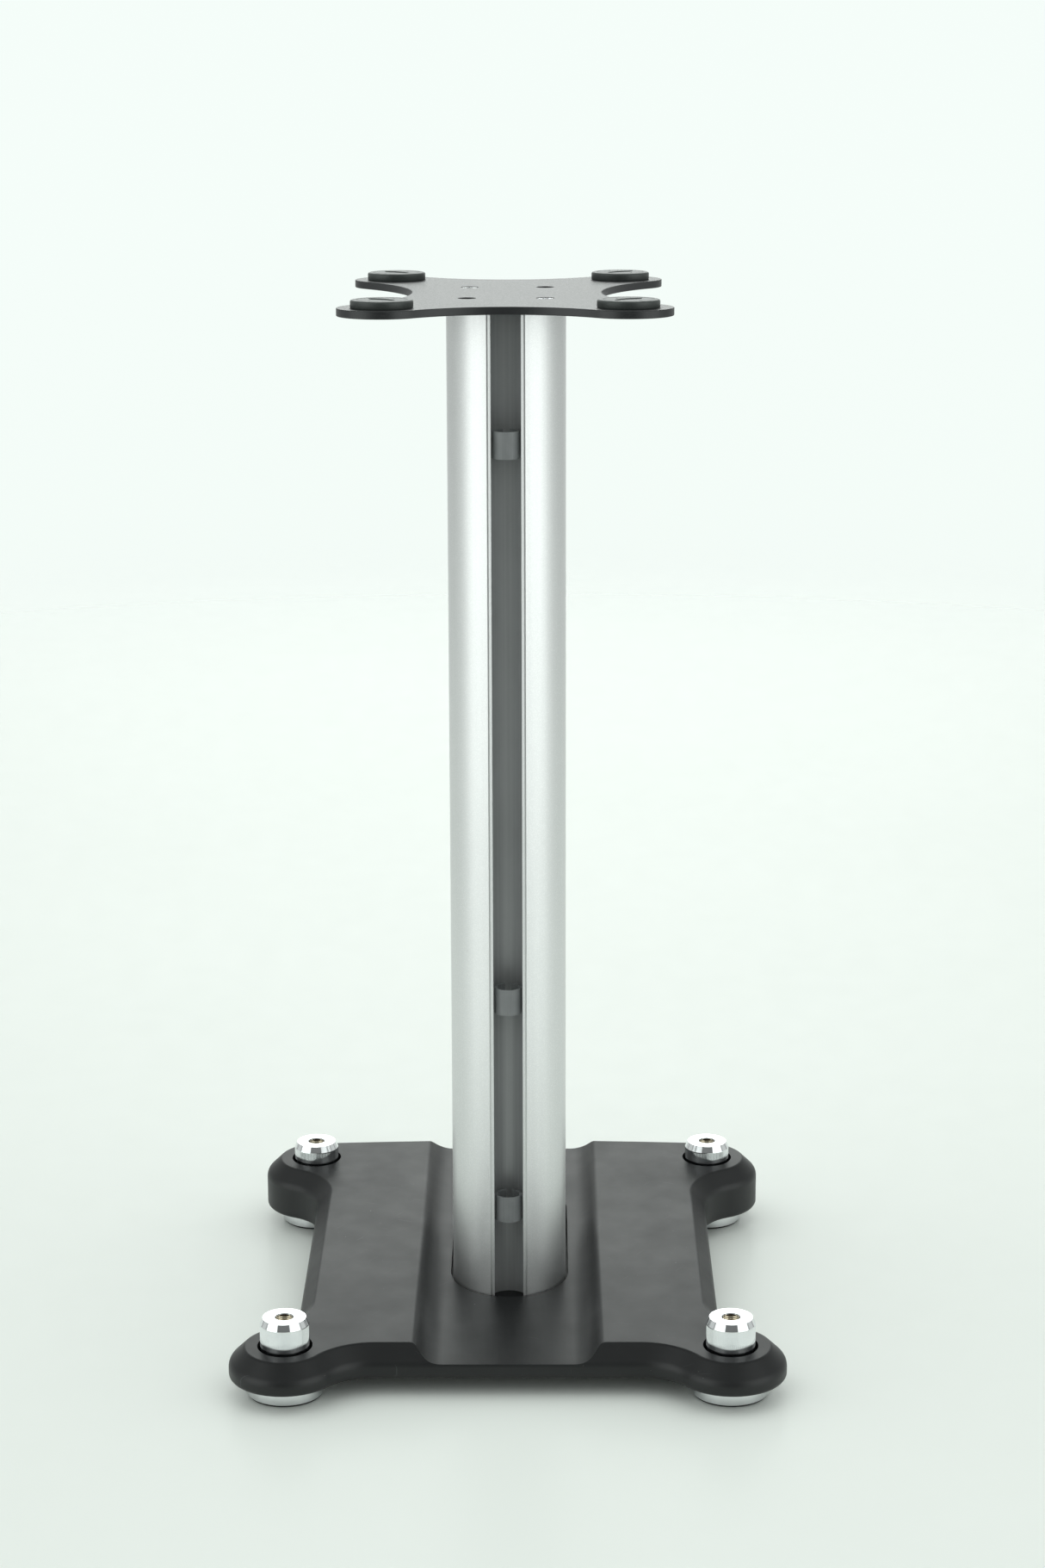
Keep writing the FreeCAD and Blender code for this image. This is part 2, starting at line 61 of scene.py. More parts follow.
# ---------------------------------------------------------------------------
# node helpers
# ---------------------------------------------------------------------------
class Mat:
    """A Principled material with a few short-hands for its pattern nodes. Patterns use object coordinates in metres."""

    def __init__(self, name):
        self.m = bpy.data.materials.new(name)
        self.m.use_nodes = True
        self.nt = self.m.node_tree
        self.nt.nodes.clear()
        self.out = self.node("ShaderNodeOutputMaterial")
        self.b = self.node("ShaderNodeBsdfPrincipled")
        self.link(self.b.outputs[0], self.out.inputs[0])
        self.co = self.node("ShaderNodeTexCoord").outputs["Object"]

    def node(self, kind, **props):
        n = self.nt.nodes.new(kind)
        for k, v in props.items():
            setattr(n, k, v)
        return n

    def link(self, a, b):
        self.nt.links.new(a, b)

    def put(self, socket, value):
        if isinstance(value, bpy.types.NodeSocket):
            self.link(value, socket)
        elif isinstance(value, (tuple, list)) and len(value) == 3 and socket.type == "RGBA":
            socket.default_value = (*value, 1)
        else:
            socket.default_value = value

    def set(self, **values):
        names = {"color": "Base Color", "rough": "Roughness", "metal": "Metallic", "ior": "IOR",
                 "spec": "Specular IOR Level", "coat": "Coat Weight", "coat_rough": "Coat Roughness",
                 "aniso": "Anisotropic", "normal": "Normal", "sheen": "Sheen Weight", "sheen_rough": "Sheen Roughness"}
        for k, v in values.items():
            self.put(self.b.inputs[names[k]], v)
        return self

    def scaled(self, sx, sy, sz, rot=(0, 0, 0), loc=(0, 0, 0), src=None):
        n = self.node("ShaderNodeMapping")
        self.link(src or self.co, n.inputs["Vector"])
        n.inputs["Scale"].default_value = (sx, sy, sz)
        n.inputs["Rotation"].default_value = rot
        n.inputs["Location"].default_value = loc
        return n.outputs[0]

    def noise(self, scale, detail=2.0, rough=0.5, vec=None, dist=0.0):
        n = self.node("ShaderNodeTexNoise")
        self.link(vec or self.co, n.inputs["Vector"])
        n.inputs["Scale"].default_value = scale
        n.inputs["Detail"].default_value = detail
        n.inputs["Roughness"].default_value = rough
        n.inputs["Distortion"].default_value = dist
        return n.outputs["Fac"]

    def cells(self, scale, vec=None, feature="F1", random=1.0):
        n = self.node("ShaderNodeTexVoronoi", feature=feature)
        self.link(vec or self.co, n.inputs["Vector"])
        n.inputs["Scale"].default_value = scale
        n.inputs["Randomness"].default_value = random
        return n.outputs["Distance"], n.outputs["Color"]

    def math(self, op, a, b=0.5, clamp=False):
        n = self.node("ShaderNodeMath", operation=op, use_clamp=clamp)
        self.put(n.inputs[0], a)
        self.put(n.inputs[1], b)
        return n.outputs[0]

    def rng(self, value, a, b, c=0.0, d=1.0, smooth=False):
        n = self.node("ShaderNodeMapRange", interpolation_type="SMOOTHSTEP" if smooth else "LINEAR", clamp=True)
        self.link(value, n.inputs["Value"])
        for k, v in zip(("From Min", "From Max", "To Min", "To Max"), (a, b, c, d)):
            n.inputs[k].default_value = v
        return n.outputs[0]

    def mix(self, fac, a, b, mode="MIX"):
        n = self.node("ShaderNodeMix", data_type="RGBA", blend_type=mode, clamp_factor=True)
        self.put(n.inputs["Factor"], fac)
        self.put(n.inputs[6], a)
        self.put(n.inputs[7], b)
        return n.outputs[2]

    def axis(self, which, src=None):
        n = self.node("ShaderNodeSeparateXYZ")
        self.link(src or self.co, n.inputs[0])
        return n.outputs["XYZ".index(which)]

    def bump(self, height, strength, distance, before=None):
        n = self.node("ShaderNodeBump")
        n.inputs["Strength"].default_value = strength
        n.inputs["Distance"].default_value = distance
        self.link(height, n.inputs["Height"])
        if before is not None:
            self.link(before, n.inputs["Normal"])
        return n.outputs[0]

    def specks(self, scale, share, size):
        """Mask of small dots: share of the cells get one, size is its radius as a part of the cell."""
        d, c = self.cells(scale)
        sep = self.node("ShaderNodeSeparateColor")
        self.link(c, sep.inputs[0])
        pick = self.math("GREATER_THAN", sep.outputs[0], 1 - share)
        dot = self.rng(d, size * 0.5, size, 1.0, 0.0)
        return self.math("MULTIPLY", pick, dot)

    def lines(self, angle, length, width, thresh, axes="xy"):
        """Mask of sparse hair scratches at one angle."""
        rot = (0, 0, angle) if axes == "xy" else (0, angle, 0)
        v = self.scaled(1, 1, 1, rot=rot)
        if axes == "xy":
            v = self.scaled(1 / length, 1 / width, 1 / length, src=v)
        else:
            v = self.scaled(1 / width, 1 / width, 1 / length, src=v)
        n = self.noise(1.0, 1.0, 0.4, vec=v)
        return self.rng(n, thresh, thresh + 0.025)


def m_base():
    s = Mat("base_satin_black")
    cloud = s.noise(7, 4, 0.6)
    film = s.noise(38, 5, 0.65)
    peel = s.noise(900, 2, 0.5)
    grain = s.noise(3600, 1, 0.5)
    speck = s.specks(150, 0.06, 0.05)
    dust = s.specks(420, 0.05, 0.07)
    sc1 = s.lines(0.35, 0.03, 0.0006, 0.78)
    sc2 = s.lines(-0.9, 0.022, 0.0005, 0.79)
    scr = s.math("MAXIMUM", sc1, sc2)
    col = s.mix(s.rng(cloud, 0.3, 0.7), (0.0062, 0.0068, 0.0076), (0.0088, 0.0096, 0.0105))
    col = s.mix(s.math("MULTIPLY", s.rng(film, 0.5, 0.8), 0.35), col, (0.015, 0.016, 0.0165))
    col = s.mix(s.math("MULTIPLY", scr, 0.5), col, (0.05, 0.052, 0.055))
    col = s.mix(s.math("MULTIPLY", s.math("MAXIMUM", speck, dust), 0.55), col, (0.42, 0.43, 0.42))
    r = s.rng(film, 0.25, 0.75, 0.37, 0.46)
    r = s.math("ADD", r, s.math("MULTIPLY", s.rng(cloud, 0.3, 0.7), 0.03))
    r = s.math("SUBTRACT", r, s.math("MULTIPLY", scr, 0.1))
    h = s.math("ADD", s.math("MULTIPLY", peel, 0.75), s.math("MULTIPLY", grain, 0.25))
    nrm = s.bump(h, 0.35, 0.00003)
    nrm = s.bump(scr, 0.25, 0.00003, nrm)
    s.set(color=col, rough=r, normal=nrm, ior=1.47)
    return s.m


def m_column():
    s = Mat("column_satin_silver")
    cloud = s.noise(5, 3, 0.5)
    streak = s.noise(1.0, 3, 0.6, vec=s.scaled(420, 420, 1.6))
    grain = s.noise(2600, 2, 0.6)
    d, c = s.cells(2100)
    sep = s.node("ShaderNodeSeparateColor")
    s.link(c, sep.inputs[0])
    glint = s.rng(sep.outputs[1], 0.55, 1.0)
    ding = s.specks(55, 0.045, 0.035)
    pit = s.specks(170, 0.03, 0.05)
    scr = s.lines(0.05, 0.02, 0.00045, 0.80, axes="xz")
    scr2 = s.lines(-0.16, 0.012, 0.0004, 0.815, axes="xz")
    scr = s.math("MAXIMUM", scr, scr2)
    col = s.mix(s.rng(cloud, 0.3, 0.7), (0.735, 0.745, 0.745), (0.775, 0.785, 0.785))
    col = s.mix(s.math("MULTIPLY", s.rng(streak, 0.35, 0.65), 0.25), col, (0.70, 0.71, 0.715))
    col = s.mix(s.math("MULTIPLY", glint, 0.30), col, (0.92, 0.93, 0.93))
    col = s.mix(s.math("MULTIPLY", s.rng(grain, 0.55, 0.75), 0.25), col, (0.58, 0.59, 0.60))
    col = s.mix(s.math("MULTIPLY", s.math("MAXIMUM", ding, pit), 0.75), col, (0.27, 0.25, 0.23))
    col = s.mix(s.math("MULTIPLY", scr, 0.5), col, (0.42, 0.42, 0.42))
    r = s.rng(grain, 0.3, 0.7, 0.37, 0.47)
    r = s.math("ADD", r, s.math("MULTIPLY", s.rng(streak, 0.3, 0.7), 0.03))
    r = s.math("SUBTRACT", r, s.math("MULTIPLY", scr, 0.08))
    nrm = s.bump(grain, 0.4, 0.000022)
    nrm = s.bump(streak, 0.12, 0.00002, nrm)
    nrm = s.bump(s.math("SUBTRACT", 1.0, s.math("MAXIMUM", ding, pit)), 0.5, 0.0002, nrm)
    s.set(color=col, rough=r, metal=1.0, normal=nrm)
    return s.m


def m_channel_painted_shade():
    s = Mat("channel_grey_painted_shade")
    cloud = s.noise(14, 3, 0.5)
    streak = s.noise(1.0, 3, 0.6, vec=s.scaled(900, 900, 3.0))
    grain = s.noise(2400, 2, 0.6)
    dust = s.specks(300, 0.06, 0.07)
    # painted shade: the channel's grey sits well below the column's silver to stand in for the shade inside the
    # recessed channel
    col = s.mix(s.rng(cloud, 0.3, 0.7), (0.37, 0.38, 0.385), (0.43, 0.44, 0.445))
    col = s.mix(s.math("MULTIPLY", s.rng(streak, 0.4, 0.7), 0.35), col, (0.55, 0.56, 0.565))
    col = s.mix(s.math("MULTIPLY", dust, 0.4), col, (0.35, 0.35, 0.35))
    r = s.rng(streak, 0.3, 0.7, 0.36, 0.46)
    nrm = s.bump(grain, 0.3, 0.00002)
    nrm = s.bump(streak, 0.2, 0.00003, nrm)
    s.set(color=col, rough=r, metal=0.30, normal=nrm)
    return s.m


def m_plate():
    s = Mat("plate_textured_black")
    cloud = s.noise(12, 4, 0.6)
    tex = s.noise(1500, 3, 0.55)
    d, c = s.cells(1100, feature="SMOOTH_F1")
    dust = s.specks(380, 0.08, 0.08)
    chip = s.specks(90, 0.02, 0.06)
    scr = s.lines(0.5, 0.03, 0.0007, 0.79)
    col = s.mix(s.rng(cloud, 0.3, 0.7), (0.012, 0.013, 0.015), (0.02, 0.021, 0.023))
    col = s.mix(s.math("MULTIPLY", s.rng(tex, 0.55, 0.8), 0.5), col, (0.04, 0.041, 0.043))
    col = s.mix(s.math("MULTIPLY", scr, 0.4), col, (0.09, 0.09, 0.09))
    col = s.mix(s.math("MULTIPLY", s.math("MAXIMUM", dust, chip), 0.5), col, (0.38, 0.38, 0.37))
    r = s.rng(tex, 0.3, 0.7, 0.34, 0.48)
    h = s.math("ADD", s.math("MULTIPLY", d, 0.6), s.math("MULTIPLY", tex, 0.4))
    nrm = s.bump(h, 0.45, 0.00005)
    s.set(color=col, rough=r, normal=nrm, ior=1.5)
    return s.m


def m_rubber(name, lo, hi, rough=(0.52, 0.66), scale=1700):
    s = Mat(name)
    cloud = s.noise(60, 4, 0.6)
    grain = s.noise(scale, 3, 0.6)
    dust = s.specks(520, 0.10, 0.09)
    col = s.mix(s.rng(cloud, 0.3, 0.7), lo, hi)
    col = s.mix(s.math("MULTIPLY", s.rng(grain, 0.5, 0.8), 0.4), col, tuple(x * 1.8 for x in hi))
    col = s.mix(s.math("MULTIPLY", dust, 0.35), col, (0.3, 0.3, 0.29))
    r = s.rng(grain, 0.3, 0.7, *rough)
    nrm = s.bump(grain, 0.4, 0.00004)
    nrm = s.bump(cloud, 0.15, 0.0001, nrm)
    s.set(color=col, rough=r, normal=nrm, ior=1.5)
    return s.m


def m_chrome(name, tint=(0.90, 0.915, 0.93), base_rough=0.05):
    s = Mat(name)
    smear = s.noise(130, 4, 0.6)
    fine = s.noise(1.0, 2, 0.5, vec=s.scaled(300, 300, 5200))
    speck = s.specks(700, 0.05, 0.08)
    hair = s.lines(0.7, 0.006, 0.00015, 0.78)
    col = s.mix(s.rng(smear, 0.35, 0.75), tint, tuple(x * 0.94 for x in tint))
    col = s.mix(s.math("MULTIPLY", speck, 0.5), col, (0.45, 0.44, 0.42))
    r = s.rng(smear, 0.35, 0.8, base_rough, base_rough + 0.05)
    r = s.math("ADD", r, s.math("MULTIPLY", s.math("MAXIMUM", hair, speck), 0.12))
    r = s.math("ADD", r, s.math("MULTIPLY", s.rng(fine, 0.4, 0.7), 0.02))
    nrm = s.bump(fine, 0.06, 0.00001)
    nrm = s.bump(smear, 0.03, 0.00003, nrm)
    s.set(color=col, rough=r, metal=1.0, normal=nrm)
    return s.m


def m_metal(name, lo, hi, rough=(0.24, 0.36), turned=True):
    s = Mat(name)
    cloud = s.noise(220, 4, 0.6)
    rings = s.noise(1.0, 2, 0.5, vec=s.scaled(260, 260, 5200) if turned else s.scaled(900, 900, 900))
    speck = s.specks(800, 0.10, 0.10)
    col = s.mix(s.rng(cloud, 0.3, 0.7), lo, hi)
    col = s.mix(s.math("MULTIPLY", s.rng(rings, 0.45, 0.7), 0.3), col, tuple(x * 0.7 for x in lo))
    col = s.mix(s.math("MULTIPLY", speck, 0.6), col, tuple(x * 0.35 for x in lo))
    r = s.rng(cloud, 0.3, 0.7, *rough)
    nrm = s.bump(rings, 0.25, 0.00003)
    s.set(color=col, rough=r, metal=1.0, normal=nrm)
    return s.m


def m_clip():
    s = Mat("clip_satin_grey")
    cloud = s.noise(90, 3, 0.5)
    streak = s.noise(1.0, 2, 0.6, vec=s.scaled(1500, 1500, 30))
    grain = s.noise(3000, 2, 0.6)
    dust = s.specks(500, 0.08, 0.08)
    col = s.mix(s.rng(cloud, 0.3, 0.7), (0.190, 0.200, 0.205), (0.225, 0.235, 0.240))
    col = s.mix(s.math("MULTIPLY", s.rng(streak, 0.4, 0.7), 0.4), col, (0.26, 0.27, 0.275))
    col = s.mix(s.math("MULTIPLY", dust, 0.3), col, (0.5, 0.5, 0.5))
    r = s.rng(grain, 0.3, 0.7, 0.44, 0.54)
    nrm = s.bump(grain, 0.25, 0.00002)
    nrm = s.bump(streak, 0.12, 0.00002, nrm)
    s.set(color=col, rough=r, normal=nrm, ior=1.5)
    return s.m


MATS = {
    "base_black": m_base(),
    "column_silver": m_column(),
    # the channel's darker grey is painted shade of the recess
    "liner_grey": m_channel_painted_shade(),
    "plate_black": m_plate(),
    "pad_rubber": m_rubber("pad_dark_rubber", (0.040, 0.047, 0.045), (0.054, 0.062, 0.059), (0.38, 0.50)),
    "knob_chrome": m_chrome("knob_polished_chrome"),
    "disc_chrome": m_chrome("disc_polished_chrome", base_rough=0.04),
    "stud_steel": m_metal("stud_passivated_steel", (0.50, 0.42, 0.28), (0.60, 0.51, 0.36)),
    "circlip_steel": m_metal("circlip_spring_steel", (0.20, 0.20, 0.21), (0.30, 0.30, 0.31)),
    "bush_brass": m_metal("bush_turned_brass", (0.58, 0.42, 0.17), (0.70, 0.53, 0.25)),
    "washer_black": m_rubber("washer_black_nylon", (0.012, 0.012, 0.013), (0.02, 0.02, 0.021), (0.38, 0.5)),
    "sole_rubber": m_rubber("sole_black_rubber", (0.010, 0.010, 0.010), (0.018, 0.018, 0.018), (0.6, 0.75)),
    "screw_zinc": m_metal("screw_bright_zinc", (0.66, 0.68, 0.70), (0.78, 0.80, 0.82), (0.18, 0.3)),
    "clip_grey": m_clip(),
}

# every CAD node gets the detailed material of its slot
for node in NODES.values():
    me = node.data
    for i, old in enumerate(list(me.materials)):
        me.materials[i] = MATS[old.name.split(".")[0]]


# ---------------------------------------------------------------------------
# mesh helpers
# ---------------------------------------------------------------------------
def finish_mesh(me, sharp=32):
    bm = bmesh.new()
    bm.from_mesh(me)
    bmesh.ops.remove_doubles(bm, verts=bm.verts, dist=1e-7)
    bmesh.ops.recalc_face_normals(bm, faces=bm.faces)
    bm.to_mesh(me)
    bm.free()
    me.shade_smooth()
    me.set_sharp_from_angle(angle=math.radians(sharp))
    return me


def loft(name, rings, loop=False, cap_first=False, cap_last=False, sharp=32):
    """rings: (M, N, 3) closed rings of the same count, joined with quads."""
    rings = np.asarray(rings, float)
    m, n, _ = rings.shape
    verts = rings.reshape(-1, 3)
    faces = []
    for i in range(m if loop else m - 1):
        a, b = i * n, ((i + 1) % m) * n
        for j in range(n):
            k = (j + 1) % n
            faces.append((a + j, a + k, b + k, b + j))
    if cap_first:
        faces.append(tuple(range(n)))
    if cap_last:
        faces.append(tuple(range((m - 1) * n, m * n)))
    me = bpy.data.meshes.new(name)
    me.from_pydata([tuple(v) for v in verts], [], faces)
    me.validate()
    return finish_mesh(me, sharp)


def rounded(profile, radii, steps=3):
    """A closed (r, z) profile with its corners rounded. radii holds one radius per corner, 0 leaves it."""
    out = []
    n = len(profile)
    for i in range(n):
        p, q, r = (np.array(profile[(i + k) % n], float) for k in (-1, 0, 1))
        rad = radii[i]
        if rad <= 0:
            out.append(tuple(q))
            continue
        u, v = (p - q), (r - q)
        lu, lv = np.linalg.norm(u), np.linalg.norm(v)
        u, v = u / lu, v / lv
        half = math.acos(max(-1, min(1, float(u @ v)))) / 2
        t = min(rad / math.tan(half), 0.45 * min(lu, lv))
        rr = t * math.tan(half)
        centre = q + (u + v) / np.linalg.norm(u + v) * rr / math.sin(half)
        a, b = q + u * t, q + v * t
        a0 = math.atan2(*(a - centre)[::-1])
        a1 = math.atan2(*(b - centre)[::-1])
        d = (a1 - a0 + math.pi) % TAU - math.pi
        for k in range(steps + 1):
            ang = a0 + d * k / steps
            out.append((centre[0] + rr * math.cos(ang), centre[1] + rr * math.sin(ang)))
    return out


def lathe(name, cx, cy, z0, profile, segments=192, wave=None, sharp=32):
    """Revolves a closed (r, z) profile in mm. wave(r, z, angles) may return a changed radius per angle."""
    ang = np.arange(segments) * TAU / segments
    rings = []
    for r, z in profile:
        rad = np.full(segments, r, float)
        if wave is not None:
            rad = wave(r, z, ang)
        rings.append(np.stack([cx + rad * MM * np.cos(ang), cy + rad * MM * np.sin(ang), np.full(segments, z0 + z * MM)], -1))
    return loft(name, rings, loop=True, sharp=sharp)


def piece(name, me, body, slot, replaces=(), weighted=True):
    o = bpy.data.objects.new(name, me)
    scene.collection.objects.link(o)
    me.materials.clear()
    me.materials.append(MATS[slot])
    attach(o, body)
    if replaces:
        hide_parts(*replaces)
    if weighted:
        w = o.modifiers.new("weighted_normals", "WEIGHTED_NORMAL")
        w.keep_sharp = True
    return o


def centre(node):
    lo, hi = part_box(node)
    return (lo + hi) / 2, lo, hi


# ---------------------------------------------------------------------------
# lock knobs: turned, bevelled, straight knurled
# ---------------------------------------------------------------------------
TEETH = 100


def make_knob(corner):
    node = "lock_knob_" + corner
    c, lo, hi = centre(node)
    h = (hi.z - lo.z) / MM
    R = (hi.x - lo.x) / 2 / MM
    tr, bevel, bore = 12.32, 3.7, 5.05
    k0, k1 = 0.9, h - bevel - 0.35        # knurled band
    depth = 0.34
    corners = [(bore, 1.0), (8.5, 1.0), (8.5, 0.0), (R - 0.55, 0.0), (R - 0.1, 0.45), (R - 0.1, k0 - 0.15)]
    radii = [0.15, 0.15, 0.15, 0.15, 0.1, 0.0]
    prof = rounded([(bore, 5)] + corners + [(R, k0 + 3)], [0] + radii + [0], 2)[1:-1]
    zs = [k0, k0 + 0.2] + list(np.linspace(k0 + 0.5, k1 - 0.5, 8)) + [k1 - 0.2, k1]
    prof += [(R, z) for z in zs]
    upper = [(R, k1 + 0.1), (R, h - bevel), (tr, h), (bore + 0.5, h), (bore, h - 0.5), (bore, 6.0)]
    prof += rounded([(R, k1 - 2)] + upper, [0, 0, 0.22, 0.22, 0.08, 0.08, 0], 3)[1:]
    per = 6
    shape = np.array([0.0, 0.35, 1.0, 1.0, 0.35, 0.0]) * depth

    def wave(r, z, ang):
        rad = np.full(len(ang), r, float)
        if abs(r - R) < 1e-6 and k0 - 1e-6 <= z <= k1 + 1e-6:
            t = min(1.0, max(0.0, min(z - k0, k1 - z) / 0.22))
            rad -= np.tile(shape, len(ang) // per) * t
        return rad
    me = lathe("v_" + node, c.x, c.y, lo.z, prof, TEETH * per, wave, sharp=28)
    return piece("knurled_knob_" + corner, me, "knob_" + corner, "knob_chrome", [node])


# ---------------------------------------------------------------------------
# foot discs, soles and studs
# ---------------------------------------------------------------------------
def make_disc(corner):
    node = "foot_disc_" + corner
    c, lo, hi = centre(node)
    R = (hi.x - lo.x) / 2 / MM
    h = (hi.z - lo.z) / MM
    prof = [(8.0, 0), (R, 0), (R, h), (5.4, h), (5.4, 5.0), (4.05, 5.0), (4.05, 2.0), (8.0, 2.0)]
    rad = [0.2, 0.5, 0.5, 0.3, 0.0, 0.1, 0.1, 0.1]
    me = lathe("v_" + node, c.x, c.y, lo.z, rounded(prof, rad, 5), 256)
    return piece("chrome_disc_" + corner, me, "foot_" + corner, "disc_chrome", [node])


def make_sole(corner):
    node = "foot_sole_" + corner
    c, lo, hi = centre(node)
    R = (hi.x - lo.x) / 2 / MM
    h = (hi.z - lo.z) / MM
    ang = np.arange(160) * TAU / 160
    rows = []
    # ribbed tread underneath, three shallow rings
    prof = [(1.5, h), (R - 0.2, h), (R, h - 0.2), (R, 0.2), (R - 0.2, 0.0), (R - 2.2, 0.0), (R - 2.5, 0.35), (R - 3.3, 0.35),
            (R - 3.6, 0.0), (R - 6.6, 0.0), (R - 6.9, 0.35), (R - 7.7, 0.35), (R - 8.0, 0.0), (R - 11.0, 0.0),
            (R - 11.3, 0.35), (R - 12.1, 0.35), (R - 12.4, 0.0), (1.5, 0.0)]
    for r, z in prof:
        rows.append(np.stack([c.x + r * MM * np.cos(ang), c.y + r * MM * np.sin(ang), np.full(160, lo.z + z * MM)], -1))
    me = loft("v_" + node, rows, cap_first=True, cap_last=True)
    return piece("tread_sole_" + corner, me, "foot_" + corner, "sole_rubber", [node])


def make_stud(corner):
    node = "foot_stud_" + corner
    c, lo, hi = centre(node)
    n = 96
    ang = np.arange(n) * TAU / n
    top = hi.z / MM
    rings = []

    def ring(rad, z):
        rad = np.full(n, rad, float) if np.isscalar(rad) else rad
        rings.append(np.stack([c.x + rad * MM * np.cos(ang), c.y + rad * MM * np.sin(ang), np.full(n, z * MM)], -1))
    z0 = lo.z / MM
    ring(3.6, z0)
    ring(4.0, z0 + 0.4)
    ring(4.0, 2.0)
    ring(3.3, 2.0)
    ring(3.3, 2.8)
    ring(4.0, 2.8)
    ring(4.0, 6.05)
    ring(4.3, 6.05)
    # M10 x 1.5 external thread, one helix from the shoulder to the end chamfer
    pitch, deep = 1.5, 0.82
    a, b = 6.6, top - 0.9
    rows = int((b - a) / 0.15)
    for i in range(rows + 1):
        z = a + (b - a) * i / rows
        ph = (z / pitch - ang / TAU) % 1.0
        tri = np.clip(np.abs(ph - 0.5) * 2 * 1.25 - 0.12, 0, 1)
        fade = min(1.0, (z - a) / 0.8, (b - z) / 0.8)
        ring(5.0 - deep * tri * max(0.0, fade), z)
    ring(5.0, top - 0.6)
    ring(4.4, top)
    hexr = 2.5 / np.cos((ang + math.pi / 6) % (math.pi / 3) - math.pi / 6)
    ring(hexr + 0.25, top)
    ring(hexr, top - 0.25)
    ring(hexr, top - 5.6)
    ring(hexr * 0.5, top - 6.0)
    ring(0.15, top - 6.6)
    me = loft("v_" + node, rings, cap_first=True, cap_last=True, sharp=34)
    return piece("threaded_stud_" + corner, me, "stud_" + corner, "stud_steel", [node])


# ---------------------------------------------------------------------------
# pads: moulded rubber, rounded edge, shallow rim step, plain lens-shaped relief and two pin marks
# ---------------------------------------------------------------------------
def make_pad(corner):
    node = "pad_" + corner
    c, lo, hi = centre(node)
    R = (hi.x - lo.x) / 2 / MM
    h = (hi.z - lo.z) / MM
    mirror = 1 if "right" in corner else -1
    n = 240
    ang = np.arange(n) * TAU / n

    def relief(x, y):
        """Depth in mm below the top face."""
        r = np.hypot(x, y)
        d = np.zeros_like(x)
        # rim groove
        d += 0.22 * np.exp(-((r - 13.9) / 0.32) ** 2)
        # lens
        u = (x * 0.72 * mirror + y * -0.69)
        v = (x * 0.69 * mirror + y * 0.72)
        big, off = 16.0, 11.5
        inside = np.minimum(big - np.hypot(u - off, v), big - np.hypot(u + off, v))
        inside = np.minimum(inside, 12.9 - r)
        t = np.clip(inside / 0.5, 0, 1)
        d += 0.55 * t * t * (3 - 2 * t)
        for s in (-1, 1):
            q = np.hypot(u - s * 8.8, v)
            t = np.clip((0.75 - q) / 0.3, 0, 1)
            d += 0.5 * t * t * (3 - 2 * t)
        return d
    rings = []

    def ring(r, z):
        x, y = r * np.cos(ang), r * np.sin(ang)
        z = np.full(n, z, float)
        rings.append(np.stack([c.x + x * MM, c.y + y * MM, lo.z + z * MM], -1))
    ring(R - 0.6, 0.0)
    ring(R - 0.15, 0.12)
    ring(R, 0.5)
    ring(R, h - 1.3)
    for k in range(7):
        a = math.pi / 2 * k / 6
        ring(R - 1.1 + 1.1 * math.cos(a), h - 1.1 + 1.1 * math.sin(a))
    for r in np.concatenate([np.linspace(R - 1.6, 12.6, 26), np.linspace(12.3, 0.25, 50)]):
        x, y = r * np.cos(ang), r * np.sin(ang)
        rings.append(np.stack([c.x + x * MM, c.y + y * MM, lo.z + (h - relief(x, y)) * MM], -1))
    me = loft("v_" + node, rings, cap_first=True, cap_last=True, sharp=50)
    return piece("moulded_pad_" + corner, me, "stand", "pad_rubber", [node], weighted=False)


